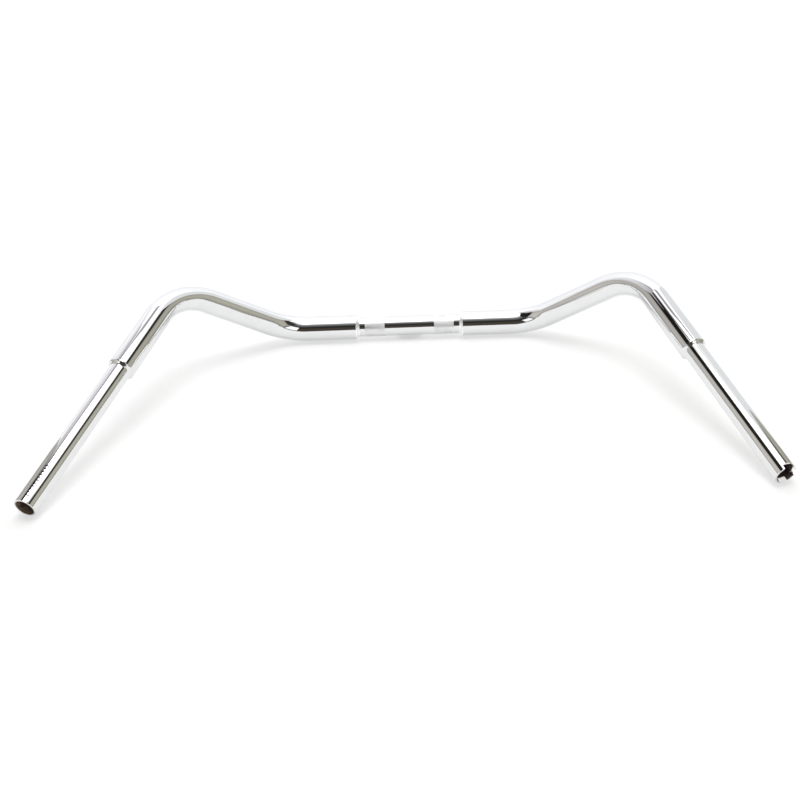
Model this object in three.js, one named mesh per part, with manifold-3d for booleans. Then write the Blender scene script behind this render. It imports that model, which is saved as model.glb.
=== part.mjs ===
// A motorcycle handlebar: a welded, chromed steel tube assembly with internal wiring.
// Two 1 1/4 inch tubes, each with two bends, carry 1 inch tubes in their ends: one joins them
// across the middle, where the risers clamp it, and one at each side carries the controls.
// A polished weld fillet closes each of the four steps in diameter.
//
// Millimetres. The origin is the middle of the bar on the axis of the clamp section, which
// lies along X. +X is the rider's right, -Y is towards the rider and +Z is up.
import * as THREE from 'three';
import { mergeVertices } from 'three/addons/utils/BufferGeometryUtils.js';
import Module from 'manifold-3d';

// Tubes
const FAT_RADIUS = 31.75 / 2;
const FAT_BORE_RADIUS = 13;
const THIN_RADIUS = 25.4 / 2;
const THIN_BORE_RADIUS = 10.6;
const INSERTION = 40;
const SIDES = 32;

// Route of the right half: the corner points where the straight runs would meet
const LOW_CORNER_X = 157.7;
const HIGH_CORNER = new THREE.Vector3(279, -69.5, 93.9);
const LEFT_END_X = 393.3;
const LEFT_END_Y = -378.3;
const RIGHT_LEG_SHORTER = 16;
const BEND_RADIUS = 80;
const BEND_STEPS = 9;

// Clamp section
const CENTRE_STEP_X = 68.7;
const KNURL_SPACING = 88.9;
const KNURL_LENGTH = 25.4;
const KNURL_HEIGHT = 0.15;

// Control sections, measured from the bar end to the end of the fat tube
const LEFT_GRIP_LENGTH = 205.2;
const RIGHT_GRIP_LENGTH = 192.5;

// Weld fillets
const GAP = 0.3;
const FILLET_LENGTH = 4.6;
const FILLET_STEPS = 5;

// Throttle sensor keys, cut in the right bar end
const KEY_WIDTH = 10;
const KEY_DEPTH = 5.2;
const KEY_ANGLES = [0, 85, 170];

// Wire openings on the underside
const CENTRE_SLOT_LENGTH = 30;
const CENTRE_SLOT_WIDTH = 13;
const GRIP_SLOT_LENGTH = 26;
const GRIP_SLOT_WIDTH = 10;
const GRIP_SLOT_FROM_STEP = 32;

const FLOOR_Z = -FAT_RADIUS;
const X_AXIS = new THREE.Vector3(1, 0, 0);
const Z_AXIS = new THREE.Vector3(0, 0, 1);

const wasm = await Module();
wasm.setup();

const chrome = { color: 0xd9dade, roughness: 0.08, metalness: 1 };
const knurledChrome = { color: 0xc9cace, roughness: 0.3, metalness: 1 };
const weldChrome = { color: 0xd2d3d7, roughness: 0.14, metalness: 1 };

// A centre line given as stations, each a point and a unit tangent
class StationLine extends THREE.Curve {
  constructor(stations) {
    super();
    this.stations = stations;
  }

  station(share) {
    return this.stations[Math.round(share * (this.stations.length - 1))];
  }

  getPointAt(share, target = new THREE.Vector3()) {
    return target.copy(this.station(share).point);
  }

  getTangentAt(share, target = new THREE.Vector3()) {
    return target.copy(this.station(share).tangent);
  }
}

// Stations round a bend of BEND_RADIUS that turns direction `from` into direction `to`
function bendStations(corner, from, to) {
  const turn = from.angleTo(to);
  const start = corner.clone().addScaledVector(from, -BEND_RADIUS * Math.tan(turn / 2));
  const axis = new THREE.Vector3().crossVectors(from, to).normalize();
  const inward = new THREE.Vector3().crossVectors(axis, from);
  const centre = start.clone().addScaledVector(inward, BEND_RADIUS);
  const stations = [];
  for (let step = 0; step <= BEND_STEPS; step += 1) {
    const angle = (turn * step) / BEND_STEPS;
    const arm = start.clone().sub(centre).applyAxisAngle(axis, angle);
    stations.push({ point: arm.add(centre), tangent: from.clone().applyAxisAngle(axis, angle) });
  }
  return stations;
}

// The straight leg from the high corner to the bar end, which rests on the floor
function legFor(side) {
  const corner = HIGH_CORNER.clone();
  corner.x *= side;
  const plan = new THREE.Vector3(side * LEFT_END_X, LEFT_END_Y, 0).setZ(corner.z).sub(corner);
  const reach = plan.length() - (side > 0 ? RIGHT_LEG_SHORTER : 0);
  plan.normalize();
  let slope = 0;
  for (let round = 0; round < 12; round += 1) {
    slope = Math.atan2(corner.z - FLOOR_Z - THIN_RADIUS * Math.cos(slope), reach);
  }
  const direction = plan.multiplyScalar(Math.cos(slope)).addScaledVector(Z_AXIS, -Math.sin(slope));
  const end = corner.clone().addScaledVector(direction, reach / Math.cos(slope));
  return { corner, direction, end };
}

// Turns local Y along `direction` and local X as far down as it goes
function standAlong(direction) {
  const down = Z_AXIS.clone().negate();
  down.addScaledVector(direction, -down.dot(direction)).normalize();
  const across = new THREE.Vector3().crossVectors(down, direction);
  return new THREE.Matrix4().makeBasis(down, direction, across);
}

function toSolid(geometry) {
  const bare = geometry.clone();
  bare.deleteAttribute('normal');
  bare.deleteAttribute('uv');
  const merged = mergeVertices(bare, 1e-4);
  return new wasm.Manifold(new wasm.Mesh({
    numProp: 3,
    vertProperties: new Float32Array(merged.attributes.position.array),
    triVerts: new Uint32Array(merged.index.array),
  }));
}

function toGeometry(solid) {
  const mesh = solid.getMesh();
  const geometry = new THREE.BufferGeometry();
  geometry.setAttribute('position', new THREE.BufferAttribute(mesh.vertProperties, 3));
  geometry.setIndex(new THREE.BufferAttribute(mesh.triVerts, 1));
  geometry.computeVertexNormals();
  return geometry;
}

function subtract(geometry, cutters) {
  let solid = toSolid(geometry);
  for (const cutter of cutters) {
    solid = solid.subtract(toSolid(cutter));
  }
  return toGeometry(solid);
}

// A turned ring along local Y, from a profile of [radius, height] points
function turned(profile) {
  const points = profile.map(([radius, height]) => new THREE.Vector2(radius, height));
  points.push(points[0].clone());
  return new THREE.LatheGeometry(points, SIDES);
}

// A slot with round ends, long along local Y, through the wall on the local +X side
function slotCutter(length, width, middleY) {
  const half = (length - width) / 2;
  const outline = new THREE.Shape();
  outline.absarc(0, half, width / 2, 0, Math.PI, false);
  outline.absarc(0, -half, width / 2, Math.PI, 2 * Math.PI, false);
  const cutter = new THREE.ExtrudeGeometry(outline, {
    depth: THIN_RADIUS,
    bevelEnabled: false,
    curveSegments: 8,
  });
  cutter.rotateY(Math.PI / 2);
  cutter.translate(THIN_BORE_RADIUS / 2, middleY, 0);
  return cutter;
}

// One key notch in the bar end at local Y = `endY`, `degrees` round from the top
function keyCutter(degrees, endY) {
  const cutter = new THREE.BoxGeometry(THIN_RADIUS * 2, KEY_DEPTH * 2, KEY_WIDTH);
  cutter.translate(-THIN_RADIUS - THIN_BORE_RADIUS / 2, endY, 0);
  cutter.rotateY(THREE.MathUtils.degToRad(-degrees));
  return cutter;
}

function part(name, geometry, finish) {
  const mesh = new THREE.Mesh(geometry, new THREE.MeshStandardMaterial(finish));
  mesh.name = name;
  return mesh;
}

// Places a turned piece: local Y runs along `direction` from `origin`
function place(mesh, origin, direction) {
  mesh.quaternion.setFromRotationMatrix(standAlong(direction));
  mesh.position.copy(origin);
  return mesh;
}

function clampTube() {
  const half = CENTRE_STEP_X + INSERTION;
  const profile = [[THIN_BORE_RADIUS, -half], [THIN_RADIUS, -half]];
  for (const side of [-1, 1]) {
    const low = (side * KNURL_SPACING - KNURL_LENGTH) / 2;
    const high = (side * KNURL_SPACING + KNURL_LENGTH) / 2;
    const top = THIN_RADIUS + KNURL_HEIGHT;
    profile.push([THIN_RADIUS, low], [top, low], [top, high], [THIN_RADIUS, high]);
  }
  profile.push([THIN_RADIUS, half], [THIN_BORE_RADIUS, half]);
  const slot = slotCutter(CENTRE_SLOT_LENGTH, CENTRE_SLOT_WIDTH, 0);
  const geometry = subtract(turned(profile), [slot]);
  return place(part('centre_clamp_tube', geometry, knurledChrome), new THREE.Vector3(), X_AXIS);
}

function bendTube(name, side, leg, gripLength) {
  const outward = X_AXIS.clone().multiplyScalar(side);
  const lowCorner = outward.clone().multiplyScalar(LOW_CORNER_X);
  const rising = leg.corner.clone().sub(lowCorner).normalize();
  const stations = [
    { point: outward.clone().multiplyScalar(CENTRE_STEP_X), tangent: outward },
    ...bendStations(lowCorner, outward, rising),
    ...bendStations(leg.corner, rising, leg.direction),
    { point: leg.end.clone().addScaledVector(leg.direction, -gripLength), tangent: leg.direction },
  ];
  const section = new THREE.Shape();
  section.absarc(0, 0, FAT_RADIUS, 0, 2 * Math.PI, false);
  const bore = new THREE.Path();
  bore.absarc(0, 0, FAT_BORE_RADIUS, 0, 2 * Math.PI, true);
  section.holes.push(bore);
  const geometry = new THREE.ExtrudeGeometry(section, {
    steps: stations.length - 1,
    curveSegments: SIDES / 2,
    extrudePath: new StationLine(stations),
  });
  return part(name, geometry, chrome);
}

// The grip tube starts INSERTION deep in the fat tube and ends at the bar end
function gripTube(name, leg, gripLength, keyed) {
  const endY = gripLength + INSERTION;
  const tube = turned([
    [THIN_BORE_RADIUS, 0],
    [THIN_RADIUS, 0],
    [THIN_RADIUS, endY],
    [THIN_BORE_RADIUS, endY],
  ]);
  const slotY = INSERTION + GRIP_SLOT_FROM_STEP;
  const cutters = [slotCutter(GRIP_SLOT_LENGTH, GRIP_SLOT_WIDTH, slotY)];
  if (keyed) {
    cutters.push(...KEY_ANGLES.map((degrees) => keyCutter(degrees, endY)));
  }
  const origin = leg.end.clone().addScaledVector(leg.direction, -endY);
  return place(part(name, subtract(tube, cutters), chrome), origin, leg.direction);
}

// A fillet ring on the thin tube: it leaves the fat tube's end at `origin` and runs out along
// `direction` in a quarter-wave, from the fat radius to the thin one
function weldFillet(name, origin, direction) {
  const inner = THIN_RADIUS + GAP;
  const profile = [[inner, GAP]];
  for (let step = 0; step <= FILLET_STEPS; step += 1) {
    const share = step / FILLET_STEPS;
    const fall = (1 - Math.cos(Math.PI * share)) / 2;
    const radius = FAT_RADIUS + (inner + GAP - FAT_RADIUS) * fall;
    profile.push([radius, GAP + (FILLET_LENGTH - GAP) * share]);
  }
  profile.push([inner, FILLET_LENGTH]);
  return place(part(name, turned(profile), weldChrome), origin, direction);
}

const handlebar = new THREE.Group();
handlebar.add(clampTube());
for (const [word, side] of [['left', -1], ['right', 1]]) {
  const leg = legFor(side);
  const gripLength = side > 0 ? RIGHT_GRIP_LENGTH : LEFT_GRIP_LENGTH;
  const gripStep = leg.end.clone().addScaledVector(leg.direction, -gripLength);
  const centreStep = new THREE.Vector3(side * CENTRE_STEP_X, 0, 0);
  handlebar.add(bendTube(`${word}_bend_tube`, side, leg, gripLength));
  handlebar.add(gripTube(`${word}_grip_tube`, leg, gripLength, side > 0));
  handlebar.add(weldFillet(`${word}_centre_weld`, centreStep, X_AXIS.clone().multiplyScalar(-side)));
  handlebar.add(weldFillet(`${word}_grip_weld`, gripStep, leg.direction));
}

export default handlebar;
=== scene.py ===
"""The looks of a chromed motorcycle handlebar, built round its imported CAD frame.

Lengths are in metres. X runs along the bar, -Y towards the rider, +Z up, and the origin is the
middle of the clamp section. Every tube is one closed skin: an outer wall, a bore and the walls
that join them at the ends, round the wire slots and round the sensor keys.
"""

from math import asin, atan2, cos, hypot, pi, radians, sin, tan

import bmesh
import bpy
import numpy as np
from mathutils import Matrix, Vector


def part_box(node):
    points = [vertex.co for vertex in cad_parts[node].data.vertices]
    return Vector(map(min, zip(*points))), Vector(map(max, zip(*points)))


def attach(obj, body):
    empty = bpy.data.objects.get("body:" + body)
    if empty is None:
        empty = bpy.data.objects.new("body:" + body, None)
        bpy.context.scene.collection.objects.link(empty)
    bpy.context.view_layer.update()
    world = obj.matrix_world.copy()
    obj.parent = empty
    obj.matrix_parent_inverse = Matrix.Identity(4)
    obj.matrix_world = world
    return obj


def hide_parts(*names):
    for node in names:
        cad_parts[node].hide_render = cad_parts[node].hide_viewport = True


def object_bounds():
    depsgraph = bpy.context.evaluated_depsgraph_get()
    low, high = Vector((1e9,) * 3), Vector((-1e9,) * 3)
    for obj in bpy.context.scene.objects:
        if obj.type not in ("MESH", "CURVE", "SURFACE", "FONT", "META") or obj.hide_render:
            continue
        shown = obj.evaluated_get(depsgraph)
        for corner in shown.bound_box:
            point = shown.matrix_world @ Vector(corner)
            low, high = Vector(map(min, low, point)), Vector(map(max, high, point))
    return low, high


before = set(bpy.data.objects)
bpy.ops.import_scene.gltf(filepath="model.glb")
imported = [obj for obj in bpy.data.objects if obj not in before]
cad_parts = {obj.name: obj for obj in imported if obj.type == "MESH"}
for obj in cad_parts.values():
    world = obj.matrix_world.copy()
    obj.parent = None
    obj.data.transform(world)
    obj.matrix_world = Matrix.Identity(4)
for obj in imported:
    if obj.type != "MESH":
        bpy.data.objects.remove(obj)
cad_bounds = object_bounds()

MM = 0.001

# Tubes
FAT_RADIUS = 15.875 * MM
FAT_BORE_RADIUS = 13 * MM
THIN_RADIUS = 12.7 * MM
THIN_BORE_RADIUS = 10.6 * MM
INSERTION = 40 * MM             # how deep a grip tube reaches into its fat tube
TUBE_SIDES = 128
CLAMP_SIDES = 224
END_ROWS = np.array([0, 1, 20]) * MM    # rows of a thin tube near an end, from that end

# Edges, with the angles in degrees
WELD_DISTANCE = 0.002 * MM      # points nearer than this become one
HARD_EDGE_ANGLE = 60            # on the straight tubes, edges sharper than this are rounded
RIM_ROUNDING = 0.3 * MM
SHARP_ANGLE = 50                # shading breaks at edges sharper than this
KNURL_SHARP_ANGLE = 24

# Route of the right half: the corner points where the straight runs would meet
LOW_CORNER_X = 157.7 * MM
HIGH_CORNER = np.array([279, -69.5, 93.9]) * MM
LEFT_END = np.array([393.3, -378.3]) * MM   # the left bar end: distance outward, and y
RIGHT_LEG_SHORTER = 16 * MM
SLOPE_ROUNDS = 12               # rounds in which the slope of a leg settles
BEND_RADIUS = 80 * MM
BEND_ROWS = 40
BEND_SQUEEZE = 0.05             # the share by which a bend is flattened in its plane
SQUEEZE_RAMP = 22 * MM          # the way along a bend over which the squeeze sets in

# Control sections, measured from the bar end to the end of the fat tube
GRIP_LENGTH = {"left": 205.2 * MM, "right": 192.5 * MM}

# Knurled bands on the clamp section
KNURL_SPACING = 88.9 * MM
KNURL_LENGTH = 25.4 * MM
KNURL_ROWS = 42
KNURL_STARTS = 56               # diamonds round the tube
KNURL_CREST = 0.15 * MM         # how far the crests stand out from the plain tube
KNURL_DEPTH = 0.32 * MM
KNURL_FLAT = 0.62               # the share of a diamond's slope at which its top is cut flat
BAND_BORDER = 0.2               # in half diamonds: rows this near a band's border stay plain

# Weld fillets
FILLET_LENGTH = 4.6 * MM
FILLET_ROWS = 16
FILLET_LIP = 0.03 * MM          # how far a fillet's thin end stands out from the thin tube

# Sensor keys in the right bar end, from the top towards the outboard side, in degrees
KEY_WIDTH = 10 * MM
KEY_DEPTH = 5.2 * MM
KEY_ANGLES = [0, 85, 170]
KEY_CELLS = 14                  # columns across a key
KEY_ROWS = 6
KEY_MARGIN = 0.5 * MM           # a row this far below the keys keeps their rounding even
KEY_TOLERANCE = 0.01 * MM       # the rounding error allowed in the height of a row

# Etched marks for setting the controls, on top of the tube near the left bar end. The angles
# are in degrees: the middle of the marks, from the top towards the inboard side, and their width
TICK_COUNT = 11
TICK_FROM_END = 8 * MM
TICK_SPACING = 4 * MM
TICK_WIDTH = 1.5 * MM
TICK_ANGLE = 12
TICK_SPAN = 15
LONG_TICK_SPAN = TICK_SPAN * 1.6
LONG_TICK_EVERY = 5

# Wire slots on the underside: (length, width)
CENTRE_SLOT = (30 * MM, 13 * MM)
GRIP_SLOT = (26 * MM, 10 * MM)
GRIP_SLOT_FROM_STEP = 32 * MM   # from the end of the fat tube to the slot's middle
SLOT_MARGIN = 2.5 * MM          # a border round the slot, filled with rings
SLOT_ROWS = 25
SLOT_RINGS = 5

# Camera: in front of the bar and above it, with its angles in radians and its lens in mm
CAMERA_AZIMUTH = 0.0166
CAMERA_ELEVATION = 0.4728
CAMERA_ROLL = -0.0424
CAMERA_DISTANCE = 1.5583
CAMERA_TARGET = Vector((0.0115, -0.0206, 0))
CAMERA_LENS = 54.82
CAMERA_SHIFT = (-0.0230, -0.0849)
CAMERA_REACH = 200              # nothing farther away is drawn

# Materials: nearly all values of a noise lie between these
NOISE_LOW = 0.3
NOISE_HIGH = 0.7

# Studio: where the cards stand beside the bar, and the floor's size, shade and glow
WALL_PLACE = 0.9
SCREEN_PLACE = 0.91
STRUT_PLACE = SCREEN_PLACE - 0.005
FLOOR_REACH = 60.0
FLOOR_SHADE = 0.55
FLOOR_GLOW = 0.49

# The world by height, from the front, the sides and the back: (degrees up, brightness or colour)
SOFTBOX = 5.0
AHEAD = [(1, 0.09), (5, (0.062, 0.054, 0.042)), (13, (0.078, 0.066, 0.052)),
         (27, (0.058, 0.048, 0.038)), (31, 0.016), (37, 0.03), (44, 0.10), (51, 0.17), (57, 0.33),
         (62, 0.55), (67, 0.95), (70, 1.5), (74, SOFTBOX)]
BESIDE = [(1, 0.35), (35, 0.32), (38, 0.05), (55, 0.04), (61, 0.6), (66, 1.3), (69, 1.5),
          (73, SOFTBOX)]
BEHIND = [(0, (0.98, 1.0, 1.04)), (12, (1.08, 1.09, 1.12)), (24, (1.18, 1.18, 1.2)), (45, 1.3),
          (60, 1.4), (67, 1.5), (70, 1.8), (74, SOFTBOX)]

# Degrees round from straight ahead, towards +X, over which one part passes into the next
AHEAD_TO_BESIDE = (44, 50)
BESIDE_TO_BEHIND = (90, 94)

# Windows of the world: (from, to, softness) round and (from, to, softness) up, in degrees
RIGHT_GAP = ((21, 43, 3), (7, 31, 4))
LEFT_GAP = ((-46, -31, 3), (8, 25, 4))
GAP_COLOUR = (1.3, 1.3, 1.3, 1)
SEAM = ((155, 181, 12), (66.5, 70.5, 1))
SEAM_COLOUR = (0.45, 0.43, 0.45, 1)

UP = np.array([0.0, 0.0, 1.0])
OUT = np.array([1.0, 0.0, 0.0])


# ---------------------------------------------------------------- geometry helpers

def unit(vector):
    """The vector, scaled to a length of 1."""
    return vector / np.linalg.norm(vector)


def turn_about(axis, angle, vector):
    """The vector, turned about a unit axis."""
    lengthwise = axis * np.dot(axis, vector)
    return lengthwise + (vector - lengthwise) * cos(angle) + np.cross(axis, vector) * sin(angle)


def smooth_step(share):
    """0 below 0, 1 above 1, and a smooth rise between them."""
    share = np.clip(share, 0, 1)
    return share * share * (3 - 2 * share)


class Skin:
    """A mesh made of quad patches. Points that lie in one place are welded at the end."""

    def __init__(self):
        self.points = []
        self.faces = []
        self.finishes = []

    def patch(self, grid, finish=0, keep=None, wrap=True):
        """Adds grid[row, column], quads between its neighbours; wrap joins the last column
        to the first, and keep[row, column] says which cells are wanted."""
        rows, columns = grid.shape[:2]
        first = len(self.points)
        self.points.extend(grid.reshape(-1, 3))
        for row in range(rows - 1):
            for column in range(columns if wrap else columns - 1):
                if keep is None or keep[row, column]:
                    beside = (column + 1) % columns
                    corners = [(row, column), (row, beside), (row + 1, beside), (row + 1, column)]
                    self.faces.append([first + down * columns + over for down, over in corners])
                    self.finishes.append(finish)

    def build(self, name, materials, rounding=0.0, sharp_angle=SHARP_ANGLE):
        """Welds the patches, turns the faces outward, rounds the hard edges and links it."""
        mesh = bpy.data.meshes.new(name)
        mesh.from_pydata(self.points, [], self.faces)
        for material in materials:
            mesh.materials.append(material)
        mesh.polygons.foreach_set("material_index", self.finishes)
        work = bmesh.new()
        work.from_mesh(mesh)
        unused = [point for point in work.verts if not point.link_faces]
        bmesh.ops.delete(work, geom=unused, context="VERTS")
        bmesh.ops.remove_doubles(work, verts=work.verts, dist=WELD_DISTANCE)
        bmesh.ops.recalc_face_normals(work, faces=work.faces)
        if rounding:
            hard = [edge for edge in work.edges
                    if edge.is_manifold and edge.calc_face_angle() > radians(HARD_EDGE_ANGLE)]
            bmesh.ops.bevel(work, geom=hard, offset=rounding, segments=3, profile=0.5,
                            affect="EDGES", clamp_overlap=True)
        for face in work.faces:
            face.smooth = True
        work.to_mesh(mesh)
        work.free()
        mesh.set_sharp_from_angle(angle=radians(sharp_angle))
        piece = bpy.data.objects.new(name, mesh)
        bpy.context.scene.collection.objects.link(piece)
        return piece


def ring_points(centre, side, up, radius, angles):
    """Points round a centre: angle 0 is along up, and a quarter turn on is along side."""
    radius = np.broadcast_to(radius, angles.shape)[:, None]
    return centre + radius * (np.cos(angles)[:, None] * up + np.sin(angles)[:, None] * side)


def even_angles(count):
    """Angles spread evenly round a full turn, from 0."""
    return np.arange(count) * 2 * pi / count


# ---------------------------------------------------------------- route of the bar

def leg_of(word):
    """The high corner, the direction down the leg and the bar end, which rests on the floor."""
    side = 1 if word == "right" else -1
    corner = HIGH_CORNER * [side, 1, 1]
    plan = np.array([side * LEFT_END[0], LEFT_END[1], corner[2]]) - corner
    reach = np.linalg.norm(plan) - (RIGHT_LEG_SHORTER if word == "right" else 0)
    slope = 0.0
    for _ in range(SLOPE_ROUNDS):
        slope = atan2(corner[2] + FAT_RADIUS - THIN_RADIUS * cos(slope), reach)
    direction = unit(plan) * cos(slope) - UP * sin(slope)
    return corner, direction, corner + direction * reach / cos(slope)


def bend(corner, before, after, up):
    """Rows round a bend from end to end: (point, tangent, up, inward, squeeze)."""
    axis = unit(np.cross(before, after))
    turn = atan2(np.linalg.norm(np.cross(before, after)), np.dot(before, after))
    start = corner - before * BEND_RADIUS * tan(turn / 2)
    inward = np.cross(axis, before)
    centre = start + inward * BEND_RADIUS
    rows = []
    for row in range(BEND_ROWS + 1):
        angle = turn * row / BEND_ROWS
        arm = turn_about(axis, angle, start - centre)
        turned = [turn_about(axis, angle, vector) for vector in (before, up, inward)]
        near_end = min(angle, turn - angle) * BEND_RADIUS
        squeeze = BEND_SQUEEZE * float(smooth_step(near_end / SQUEEZE_RAMP))
        rows.append((centre + arm, *turned, squeeze))
    return rows


def bend_tube(word, materials):
    """The fat tube of one side, slightly flattened in the plane of each bend."""
    side = 1 if word == "right" else -1
    outward = OUT * side
    corner, direction, end = leg_of(word)
    low_corner = outward * LOW_CORNER_X
    rising = unit(corner - low_corner)
    step = abs(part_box(f"{word}_bend_tube")[side < 0].x)
    rows = [(outward * step, outward, UP, UP, 0.0)]
    rows += bend(low_corner, outward, rising, UP)
    rows += bend(corner, rising, direction, rows[-1][2])
    rows.append((end - direction * GRIP_LENGTH[word], direction, rows[-1][2], UP, 0.0))
    angles = even_angles(TUBE_SIDES)
    walls = []
    for radius in (FAT_RADIUS, FAT_BORE_RADIUS):
        rings = []
        for point, tangent, up, inward, squeeze in rows:
            ring = ring_points(0, np.cross(up, tangent), up, radius, angles)
            rings.append(point + ring - np.outer(ring @ inward, inward) * squeeze)
        walls.append(np.array(rings))
    skin = Skin()
    skin.patch(walls[0], finish=0)
    skin.patch(walls[1], finish=1)
    for row in (0, -1):
        skin.patch(np.array([walls[0][row], walls[1][row]]), finish=1)
    return skin.build(f"{word}_bend_skin", materials)


# ---------------------------------------------------------------- straight tubes

class Slot:
    """A slot with round ends through the underside of a straight tube."""

    def __init__(self, size, middle):
        self.length, self.width = size
        self.middle = middle

    def rows(self):
        """Row heights across the slot and its margin."""
        half = self.length / 2 + SLOT_MARGIN
        return self.middle + np.linspace(-half, half, SLOT_ROWS)

    def covers(self, heights, angles):
        """Which cells the slot and its margin take up."""
        reach = asin(min(1, (self.width / 2 + SLOT_MARGIN) / THIN_RADIUS))
        mid_height = (heights[1:] + heights[:-1]) / 2
        mid_angle = angles + pi / len(angles)
        inside_rows = abs(mid_height - self.middle) < self.length / 2 + SLOT_MARGIN
        inside_columns = abs(mid_angle - pi) < reach
        return inside_rows[:, None] & inside_columns[None, :]

    def outline(self, height, across):
        """The point of the slot's outline nearest to a point on the margin's border."""
        radius = self.width / 2
        straight = self.length / 2 - radius
        along = min(max(height - self.middle, -straight), straight)
        away = (height - self.middle - along, across)
        size = hypot(*away)
        return self.middle + along + away[0] * radius / size, away[1] * radius / size


def slot_patches(skin, slot, place, heights, angles, covered):
    """Fills the slot's margin on both walls with rings, and joins the walls round the slot."""
    rows = np.flatnonzero(covered.any(1))
    columns = np.flatnonzero(covered.any(0))
    top, bottom = rows[0], rows[-1] + 1
    left, right = columns[0], columns[-1] + 1
    border = [(top, column) for column in range(left, right)]
    border += [(row, right) for row in range(top, bottom)]
    border += [(bottom, column) for column in range(right, left, -1)]
    border += [(row, left) for row in range(bottom, top, -1)]
    edges = []
    for radius in (THIN_RADIUS, THIN_BORE_RADIUS):
        rings = np.empty((SLOT_RINGS, len(border), 3))
        for index, (row, column) in enumerate(border):
            height, angle = heights[row], angles[column]
            edge_height, across = slot.outline(height, THIN_RADIUS * sin(angle - pi))
            edge_angle = pi + asin(across / radius)
            for ring, share in enumerate(np.linspace(0, 1, SLOT_RINGS)):
                ring_height = height + (edge_height - height) * share
                ring_angle = angle + (edge_angle - angle) * share
                rings[ring, index] = place(ring_height, radius, np.array([ring_angle]))[0]
        skin.patch(rings, finish=0 if radius == THIN_RADIUS else 1)
        edges.append(rings[-1])
    skin.patch(np.array(edges), finish=0)


def straight_tube(name, materials, origin, direction, up, heights, outer, columns, slot,
                  cut=None, special=None, sharp_angle=SHARP_ANGLE):
    """A straight tube with a wire slot. outer is its radius by row and column; columns gives
    the angles of the outer and inner walls, cut says which cells the keys take away, and
    special says which cells of the outer wall have the third finish."""
    side = np.cross(up, direction)

    def place(height, radius, angles):
        """Points round the tube at one height."""
        return ring_points(origin + direction * height, side, up, radius, angles)

    outer_wall = np.array([place(height, radii, columns[0]) for height, radii in zip(heights, outer)])
    inner_wall = np.array([place(height, THIN_BORE_RADIUS, columns[1]) for height in heights])
    covered = slot.covers(heights, columns[0])
    cut = np.zeros_like(covered) if cut is None else cut
    special = np.zeros_like(covered) if special is None else special
    keep = ~covered & ~cut
    skin = Skin()
    skin.patch(outer_wall, finish=0, keep=keep & ~special)
    skin.patch(outer_wall, finish=2, keep=keep & special)
    skin.patch(inner_wall, finish=1, keep=keep)
    slot_patches(skin, slot, place, heights, columns[0], covered)
    join_walls(skin, outer_wall, inner_wall, ~cut)
    return skin.build(name, materials, RIM_ROUNDING, sharp_angle)


def join_walls(skin, outer_wall, inner_wall, solid):
    """Closes the tube where its walls stop: at both ends and round the keys."""
    count = solid.shape[1]
    outside = np.zeros((1, count), bool)
    tall = np.vstack([outside, solid, outside])
    for row, column in zip(*np.nonzero(tall[1:] != tall[:-1])):
        ends = [(row, column), (row, (column + 1) % count)]
        skin.patch(wall_quad(outer_wall, inner_wall, ends), wrap=False)
    for row, column in zip(*np.nonzero(solid != np.roll(solid, 1, axis=1))):
        ends = [(row, column), (row + 1, column)]
        skin.patch(wall_quad(outer_wall, inner_wall, ends), wrap=False)


def wall_quad(outer_wall, inner_wall, ends):
    """A quad across the thickness of the tube, between two places on both walls."""
    return np.array([[outer_wall[end] for end in ends], [inner_wall[end] for end in ends]])


def knurl_radius(heights, angles):
    """The clamp tube's outer radius: two bands of diamond knurling on a plain tube."""
    radius = np.full((len(heights), len(angles)), THIN_RADIUS)
    cell = KNURL_LENGTH / KNURL_ROWS
    across = np.arange(len(angles)) * 2 * KNURL_STARTS / len(angles)
    for row, height in enumerate(heights):
        along = (KNURL_LENGTH / 2 - abs(abs(height) - KNURL_SPACING / 2)) / cell / 2
        if along > BAND_BORDER:
            # How near each place is to a groove of one set and of the other: 1 is in the groove
            one = abs((across + along) % 2 - 1)
            other = abs((across - along) % 2 - 1)
            rise = np.minimum(1 - np.maximum(one, other), KNURL_FLAT) / KNURL_FLAT
            radius[row] += KNURL_CREST - KNURL_DEPTH * (1 - rise)
    return radius


def clamp_tube(materials):
    """The thin tube across the middle, which the risers clamp at its knurled bands."""
    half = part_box("centre_clamp_tube")[1].x
    slot = Slot(CENTRE_SLOT, 0.0)
    band = np.linspace(-KNURL_LENGTH / 2, KNURL_LENGTH / 2, KNURL_ROWS + 1)
    near_end = half - END_ROWS
    heights = [-near_end, band - KNURL_SPACING / 2, slot.rows(), band + KNURL_SPACING / 2, near_end]
    heights = np.sort(np.concatenate(heights))
    middles = (heights[1:] + heights[:-1]) / 2
    knurled = abs(abs(middles) - KNURL_SPACING / 2) < KNURL_LENGTH / 2
    knurled = np.repeat(knurled[:, None], CLAMP_SIDES, axis=1)
    angles = even_angles(CLAMP_SIDES)
    radii = knurl_radius(heights, angles)
    return straight_tube("clamp_skin", materials, np.zeros(3), OUT, UP, heights, radii,
                         (angles, angles), slot, special=knurled, sharp_angle=KNURL_SHARP_ANGLE)


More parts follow.
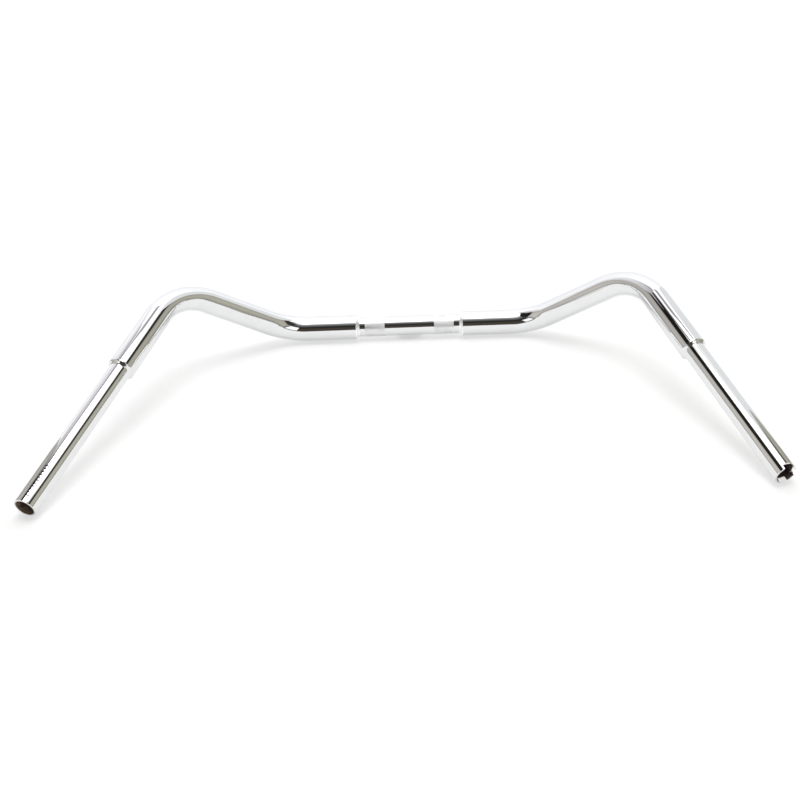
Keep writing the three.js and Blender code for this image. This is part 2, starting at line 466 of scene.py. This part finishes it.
def key_columns(radius):
    """Angles round the keyed tube, with a column on each side of every key at this radius,
    and which columns lie inside a key."""
    half = asin(KEY_WIDTH / 2 / radius)
    edges = []
    for middle in KEY_ANGLES:
        edges += [radians(middle) - half, radians(middle) + half]
    edges.append(edges[0] + 2 * pi)
    free = TUBE_SIDES - KEY_CELLS * len(KEY_ANGLES)
    gaps = [after - before for before, after in zip(edges[1::2], edges[2::2])]
    counts = [round(free * gap / sum(gaps)) for gap in gaps]
    counts[-1] = free - sum(counts[:-1])
    angles = []
    inside = []
    # Even stretches are the keys, and odd ones are the gaps between them
    for index in range(2 * len(KEY_ANGLES)):
        count = counts[index // 2] if index % 2 else KEY_CELLS
        angles.extend(np.linspace(edges[index], edges[index + 1], count, endpoint=False))
        inside.extend([index % 2 == 0] * count)
    return np.array(angles), np.array(inside)


def tick_cells(heights, ticks, angles):
    """Which cells are etched with setting marks: short ticks, and every fifth a long one."""
    cells = np.zeros((len(heights) - 1, len(angles)), bool)
    middles = (heights[1:] + heights[:-1]) / 2
    for index, tick in enumerate(ticks):
        span = TICK_SPAN if index % LONG_TICK_EVERY else LONG_TICK_SPAN
        rows = abs(middles - tick) < TICK_WIDTH / 2
        columns = abs(angles - radians(TICK_ANGLE)) < radians(span / 2)
        cells |= rows[:, None] & columns[None, :]
    return cells


def grip_tube(word, materials):
    """The thin tube that carries the controls, from deep in the fat tube to the bar end."""
    direction, end = leg_of(word)[1:]
    length = GRIP_LENGTH[word] + INSERTION
    up = unit(UP - direction * np.dot(UP, direction))
    slot = Slot(GRIP_SLOT, INSERTION + GRIP_SLOT_FROM_STEP)
    key_rows = length - np.linspace(0, KEY_DEPTH, KEY_ROWS)
    heights = [END_ROWS, slot.rows(), key_rows, [length - KEY_DEPTH - KEY_MARGIN]]
    ticks = length - TICK_FROM_END - TICK_SPACING * np.arange(TICK_COUNT if word == "left" else 0)
    heights += [ticks - TICK_WIDTH / 2, ticks + TICK_WIDTH / 2]
    heights = np.sort(np.concatenate(heights))
    cut = None
    special = None
    columns = (even_angles(TUBE_SIDES),) * 2
    if word == "right":
        outer_angles, inside = key_columns(THIN_RADIUS)
        columns = (outer_angles, key_columns(THIN_BORE_RADIUS)[0])
        cut = (heights[1:] > length - KEY_DEPTH + KEY_TOLERANCE)[:, None] & inside[None, :]
    else:
        special = tick_cells(heights, ticks, columns[0])
    outer = np.full((len(heights), TUBE_SIDES), THIN_RADIUS)
    return straight_tube(f"{word}_grip_skin", materials, end - direction * length, direction, up,
                         heights, outer, columns, slot, cut, special)


def weld_fillet(name, materials, origin, direction):
    """A polished fillet: a smooth fall from the fat tube to the thin one."""
    side = unit(np.cross(UP, direction))
    up = np.cross(direction, side)
    shares = np.linspace(0, 1, FILLET_ROWS)
    fall = (1 - np.cos(pi * shares)) / 2
    thin = THIN_RADIUS + FILLET_LIP
    outer = FAT_RADIUS + (thin - FAT_RADIUS) * fall
    bore = np.full(FILLET_ROWS, THIN_RADIUS)
    rings = []
    for radii, way in ((outer, shares), (bore, shares[::-1])):
        for radius, share in zip(radii, way):
            centre = origin + direction * FILLET_LENGTH * share
            rings.append(ring_points(centre, side, up, radius, even_angles(TUBE_SIDES)))
    rings.append(rings[0])
    skin = Skin()
    skin.patch(np.array(rings))
    return skin.build(name, materials)


# ---------------------------------------------------------------- materials

class Nodes:
    """Short ways to add and join shader nodes."""

    def __init__(self, tree):
        self.tree = tree
        self.tree.nodes.clear()

    def add(self, kind, inputs=None, **settings):
        """A node, with inputs that are values or the outputs of other nodes."""
        node = self.tree.nodes.new(kind)
        for key, value in settings.items():
            setattr(node, key, value)
        for key, value in (inputs or {}).items():
            if isinstance(value, bpy.types.NodeSocket):
                self.tree.links.new(value, node.inputs[key])
            else:
                node.inputs[key].default_value = value
        return node

    def math(self, operation, *values):
        """The result of a sum on one or two values."""
        node = self.add("ShaderNodeMath", dict(enumerate(values)), operation=operation)
        return node.outputs[0]

    def ramp(self, factor, stops):
        """A colour ramp from a list of (position, colour)."""
        node = self.add("ShaderNodeValToRGB", {"Fac": factor})
        elements = node.color_ramp.elements
        while len(elements) < len(stops):
            elements.new(1.0)
        for element, (position, colour) in zip(elements, stops):
            element.position = position
            element.color = (*colour, 1)
        return node.outputs["Color"]

    def remap(self, value, low, high, new_low=0.0, new_high=1.0, smooth=False):
        """The value, moved from one range to another and kept inside it."""
        node = self.add("ShaderNodeMapRange", {"Value": value, "From Min": low, "From Max": high,
                                               "To Min": new_low, "To Max": new_high})
        node.interpolation_type = "SMOOTHSTEP" if smooth else "LINEAR"
        return node.outputs["Result"]

    def mix(self, factor, first, second):
        """A mix of two colours, which are the node's sockets 6 and 7 and its output 2."""
        inputs = {0: factor, 6: first, 7: second}
        return self.add("ShaderNodeMix", inputs, data_type="RGBA").outputs[2]

    def noise(self, scale, detail):
        """Fractal noise in the piece's own coordinates."""
        place = self.add("ShaderNodeTexCoord").outputs["Object"]
        inputs = {"Vector": place, "Scale": scale, "Detail": detail}
        return self.add("ShaderNodeTexNoise", inputs).outputs["Fac"]

    def bump(self, height, distance, strength=1.0, under=None):
        """A surface direction bent by a height, on top of another bump where one is given."""
        inputs = {"Strength": strength, "Distance": distance, "Height": height}
        if under is not None:
            inputs["Normal"] = under
        return self.add("ShaderNodeBump", inputs).outputs["Normal"]

    def metal(self, tint, roughness, metallic=1.0, bump=None):
        """The material's surface: a metal, with a bump where one is given."""
        inputs = {"Base Color": tint, "Metallic": metallic, "Roughness": roughness}
        if bump is not None:
            inputs["Normal"] = bump
        shader = self.add("ShaderNodeBsdfPrincipled", inputs)
        self.add("ShaderNodeOutputMaterial", {"Surface": shader.outputs["BSDF"]})


def new_material(name):
    """A material without nodes, and the tools to add them."""
    material = bpy.data.materials.new(name)
    material.use_nodes = True
    return material, Nodes(material.node_tree)


def chrome(name, roughness, waviness, grain, shine=0.78):
    """Plated steel: a mirror with a faint haze, slow waves from polishing and fine marks."""
    material, nodes = new_material(name)
    haze = nodes.noise(scale=60, detail=6)
    marks = nodes.noise(scale=2600, detail=3)
    waves = nodes.noise(scale=38, detail=1)
    rough = nodes.remap(haze, NOISE_LOW, NOISE_HIGH, roughness * 0.6, roughness * 1.5)
    slow = nodes.bump(waves, waviness)
    fine = nodes.bump(marks, grain, under=slow)
    bluish = np.array([1, 1.006, 1.013])
    tint = nodes.ramp(haze, [(NOISE_LOW, 0.98 * shine * bluish), (NOISE_HIGH, 1.01 * shine * bluish)])
    nodes.metal(tint, rough, bump=fine)
    return material


def etched_steel():
    """Chrome etched with a laser: a dull, nearly black grey."""
    material, nodes = new_material("etched_steel")
    specks = nodes.noise(scale=1800, detail=3)
    tint = nodes.ramp(specks, [(NOISE_LOW, (0.006, 0.005, 0.006)), (NOISE_HIGH, (0.03, 0.027, 0.03))])
    nodes.metal(tint, nodes.remap(specks, NOISE_LOW, NOISE_HIGH, 0.4, 0.6))
    return material


def bore_steel():
    """The unplated inside of a tube: dark drawn steel, brown with oil and light rust."""
    material, nodes = new_material("bore_steel")
    stain = nodes.noise(scale=90, detail=8)
    tint = nodes.ramp(stain, [(0.35, (0.08, 0.055, 0.055)), (0.5, (0.18, 0.13, 0.12)),
                              (0.65, (0.45, 0.34, 0.24))])
    rough = nodes.remap(stain, NOISE_LOW, NOISE_HIGH, 0.45, 0.75)
    nodes.metal(tint, rough, metallic=0.6, bump=nodes.bump(stain, 0.1 * MM, strength=0.5))
    return material


# ---------------------------------------------------------------- studio

def add_floor():
    """A wide pale floor that the bar rests on. It is lit from below as well, as a light table
    is, so that the shadows on it stay faint."""
    material, nodes = new_material("studio_floor")
    shade = nodes.add("ShaderNodeBsdfDiffuse", {"Color": (FLOOR_SHADE, FLOOR_SHADE, FLOOR_SHADE, 1)})
    glow = nodes.add("ShaderNodeEmission", {"Color": (1, 1, 1, 1), "Strength": FLOOR_GLOW})
    both = nodes.add("ShaderNodeAddShader", {0: shade.outputs[0], 1: glow.outputs[0]})
    nodes.add("ShaderNodeOutputMaterial", {"Surface": both.outputs[0]})
    corners = [(x * FLOOR_REACH, y * FLOOR_REACH, 0) for x, y in ((-1, -1), (1, -1), (1, 1), (-1, 1))]
    mesh = bpy.data.meshes.new("studio_floor")
    mesh.from_pydata(corners, [], [(0, 1, 2, 3)])
    mesh.materials.append(material)
    floor = bpy.data.objects.new("studio_floor", mesh)
    floor.location.z = cad_bounds[0].z
    bpy.context.scene.collection.objects.link(floor)


def ramp_stops(table, low, high):
    """Ramp stops from a list of (level, brightness or colour), for levels from low to high."""
    stops = []
    for level, value in table:
        colour = value if isinstance(value, tuple) else (value,) * 3
        stops.append(((level - low) / (high - low), colour))
    return stops


def add_tent():
    """The world: a white tent overhead and behind with a grey seam, open in front onto a dim
    room in which two bright gaps stand. Rays from the camera see plain white."""
    world = bpy.data.worlds.new("studio")
    bpy.context.scene.world = world
    world.use_nodes = True
    nodes = Nodes(world.node_tree)
    way = nodes.add("ShaderNodeTexCoord").outputs["Generated"]
    axes = nodes.add("ShaderNodeSeparateXYZ", {"Vector": way}).outputs
    height = nodes.math("ARCSINE", axes["Z"])
    level = nodes.remap(height, 0, pi / 2)
    around = nodes.math("ARCTAN2", axes["X"], nodes.math("MULTIPLY", axes["Y"], -1.0))
    aside = nodes.math("ABSOLUTE", around)

    def by_height(table):
        """Colours by height, from a table whose levels are degrees above the horizon."""
        return nodes.ramp(level, ramp_stops(table, 0, 90))

    def passing(value, low, high):
        """A smooth rise from 0 to 1 between two angles in degrees."""
        return nodes.remap(value, radians(low), radians(high), smooth=True)

    def between(value, low, high, soft):
        """1 between two angles in degrees, falling to 0 over soft degrees outside them."""
        rise = passing(value, low - soft, low)
        fall = nodes.remap(value, radians(high), radians(high + soft), 1, 0, smooth=True)
        return nodes.math("MULTIPLY", rise, fall)

    def window(turn, sides, heights):
        """1 inside a window of the world: between two angles round and two angles up."""
        return nodes.math("MULTIPLY", between(turn, *sides), between(height, *heights))

    room = nodes.mix(passing(aside, *AHEAD_TO_BESIDE), by_height(AHEAD), by_height(BESIDE))
    gaps = nodes.math("MAXIMUM", window(around, *RIGHT_GAP), window(around, *LEFT_GAP))
    room = nodes.mix(gaps, room, GAP_COLOUR)
    room = nodes.mix(passing(aside, *BESIDE_TO_BEHIND), room, by_height(BEHIND))
    room = nodes.mix(window(aside, *SEAM), room, SEAM_COLOUR)
    seen = nodes.mix(nodes.add("ShaderNodeLightPath").outputs["Is Camera Ray"], room, (1, 1, 1, 1))
    light = nodes.add("ShaderNodeBackground", {"Color": seen, "Strength": 1.0})
    nodes.add("ShaderNodeOutputWorld", {"Surface": light.outputs["Background"]})


def add_card(name, place, outline, bands, front=(-0.2, 1), back=(0.2, 1)):
    """An upright glowing card in the plane x = place. outline is a list of (y, height), bands
    of (height, brightness or colour); front and back are two (y, factor) that dim it across.
    The chrome mirrors it, and the camera doesn't see it."""
    material, nodes = new_material(name)
    spot = nodes.add("ShaderNodeTexCoord").outputs["Object"]
    axes = nodes.add("ShaderNodeSeparateXYZ", {"Vector": spot}).outputs
    top = bands[-1][0]
    tint = nodes.ramp(nodes.remap(axes["Z"], 0, top), ramp_stops(bands, 0, top))
    strength = nodes.remap(axes["Y"], front[0], back[0], front[1], back[1])
    glow = nodes.add("ShaderNodeEmission", {"Color": tint, "Strength": strength})
    nodes.add("ShaderNodeOutputMaterial", {"Surface": glow.outputs[0]})
    mesh = bpy.data.meshes.new(name)
    mesh.from_pydata([(0, y, height) for y, height in outline], [], [range(len(outline))])
    mesh.materials.append(material)
    card = bpy.data.objects.new(name, mesh)
    card.location = (place, 0, cad_bounds[0].z)
    card.visible_camera = False
    bpy.context.scene.collection.objects.link(card)


def wall_bands(khaki, foot, khaki_top, dark):
    """The bands of a wall by height in metres: a white foot up to foot, khaki that is dimmer
    at its bottom and top, and a dark part above khaki_top."""
    white = 1.1
    foot_edge, dark_edge = 0.015, 0.09
    dim = tuple(0.8 * part for part in khaki)
    dimmer = tuple(0.68 * part for part in khaki)
    return [(0, white), (foot, white), (foot + foot_edge, dimmer), (0.14, dimmer), (0.22, dim),
            (0.35, khaki), (0.6, khaki), (khaki_top, dim), (khaki_top + dark_edge, dark), (3, dark)]


def add_sides():
    """The sides of the studio: on each a wall, and behind that wall a pale screen. On the left
    a grey strut stands in front of the screen."""
    add_card("right_wall", WALL_PLACE,
             outline=[(-0.75, 0), (0.28, 0), (0.265, 0.6), (0.24, 0.9), (0.24, 1.53), (-0.75, 1.53)],
             bands=wall_bands(khaki=(0.515, 0.5, 0.42), foot=0.02, khaki_top=0.87,
                              dark=(0.05, 0.04, 0.032)),
             front=(-0.2, 1.05), back=(0.2, 0.9))
    add_card("right_screen", SCREEN_PLACE,
             outline=[(0.15, 0), (0.95, 0), (0.95, 2), (0.55, 2), (0.15, 1.7)],
             bands=[(0, (0.90, 0.92, 0.93)), (2, (0.93, 0.94, 0.95))])
    add_card("left_wall", -WALL_PLACE,
             outline=[(-0.75, 0), (0.3, 0), (0.27, 0.25), (0.21, 0.5), (0.21, 0.85), (0.225, 0.95),
                      (0.225, 1.65), (0.42, 2), (0.55, 2.7), (-0.75, 2.7)],
             bands=wall_bands(khaki=(0.655, 0.625, 0.585), foot=0.09, khaki_top=0.98,
                              dark=(0.02, 0.018, 0.015)),
             front=(-0.2, 1.05), back=(0.2, 0.78))
    add_card("left_screen", -SCREEN_PLACE,
             outline=[(0.15, 0.55), (0.7, 0.5), (0.8, 1.2), (0.85, 1.6), (0.95, 1.95), (1.45, 3.5),
                      (1.45, 4.1), (1.2, 4.1), (0.95, 3.4), (0.6, 2.6), (0.15, 2.6)],
             bands=[(0.4, (0.91, 0.9, 0.91)), (1, (0.75, 0.745, 0.76)), (1.7, (0.51, 0.49, 0.52)),
                    (2.5, (0.35, 0.33, 0.36))],
             front=(0.25, 0.9), back=(0.6, 1.45))
    add_card("left_strut", -STRUT_PLACE,
             outline=[(0.42, 2.2), (0.62, 2.6), (0.8, 3.4), (0.88, 4.1), (1.1, 5.2), (0.8, 5.2),
                      (0.5, 3.2)],
             bands=[(2.3, (0.3, 0.27, 0.29)), (3.3, (0.38, 0.35, 0.37)), (3.9, (0.1, 0.08, 0.09))])


def add_camera():
    """The camera of the main view, tilted a little about its own line of sight."""
    azimuth, elevation = CAMERA_AZIMUTH, CAMERA_ELEVATION
    back = Vector((sin(azimuth) * cos(elevation), -cos(azimuth) * cos(elevation), sin(elevation)))
    level_right = Vector((cos(azimuth), sin(azimuth), 0))
    level_up = back.cross(level_right)
    right = level_right * cos(CAMERA_ROLL) + level_up * sin(CAMERA_ROLL)
    up = back.cross(right)
    lens = bpy.data.cameras.new("camera")
    lens.lens = CAMERA_LENS
    lens.shift_x, lens.shift_y = CAMERA_SHIFT
    lens.clip_end = CAMERA_REACH
    camera = bpy.data.objects.new("camera", lens)
    camera.matrix_world = Matrix((right, up, back)).transposed().to_4x4()
    camera.location = CAMERA_TARGET + back * CAMERA_DISTANCE
    bpy.context.scene.collection.objects.link(camera)
    bpy.context.scene.camera = camera


# ---------------------------------------------------------------- assembly

def stand_for(piece, node):
    """The piece rides on the bar's one body and is shown in place of its CAD node."""
    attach(piece, "root")
    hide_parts(node)


def build_bar():
    """The nine pieces of the bar with their materials."""
    bore = bore_steel()
    mirror = chrome("tube_chrome", roughness=0.014, waviness=0.035 * MM, grain=0.0001 * MM)
    satin = chrome("knurled_chrome", roughness=0.32, waviness=0.03 * MM, grain=0.002 * MM, shine=0.88)
    grip_finish = {"left": [mirror, bore, etched_steel()], "right": [mirror, bore]}
    weld_finish = {
        "centre": [chrome("centre_weld_chrome", roughness=0.36, waviness=0.05 * MM,
                          grain=0.001 * MM, shine=0.97)],
        "grip": [chrome("grip_weld_chrome", roughness=0.05, waviness=0.08 * MM,
                        grain=0.0004 * MM)]}
    stand_for(clamp_tube([mirror, bore, satin]), "centre_clamp_tube")
    for word, side in (("left", -1), ("right", 1)):
        direction, end = leg_of(word)[1:]
        stand_for(bend_tube(word, [mirror, bore]), f"{word}_bend_tube")
        stand_for(grip_tube(word, grip_finish[word]), f"{word}_grip_tube")
        centre_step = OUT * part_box(f"{word}_bend_tube")[side < 0].x
        grip_step = end - direction * GRIP_LENGTH[word]
        for place, origin, way in (("centre", centre_step, -OUT * side), ("grip", grip_step, direction)):
            fillet = weld_fillet(f"{word}_{place}_fillet", weld_finish[place], origin, way)
            stand_for(fillet, f"{word}_{place}_weld")


add_camera()
add_floor()
add_tent()
add_sides()
build_bar()
bpy.context.scene.view_settings.view_transform = "Standard"
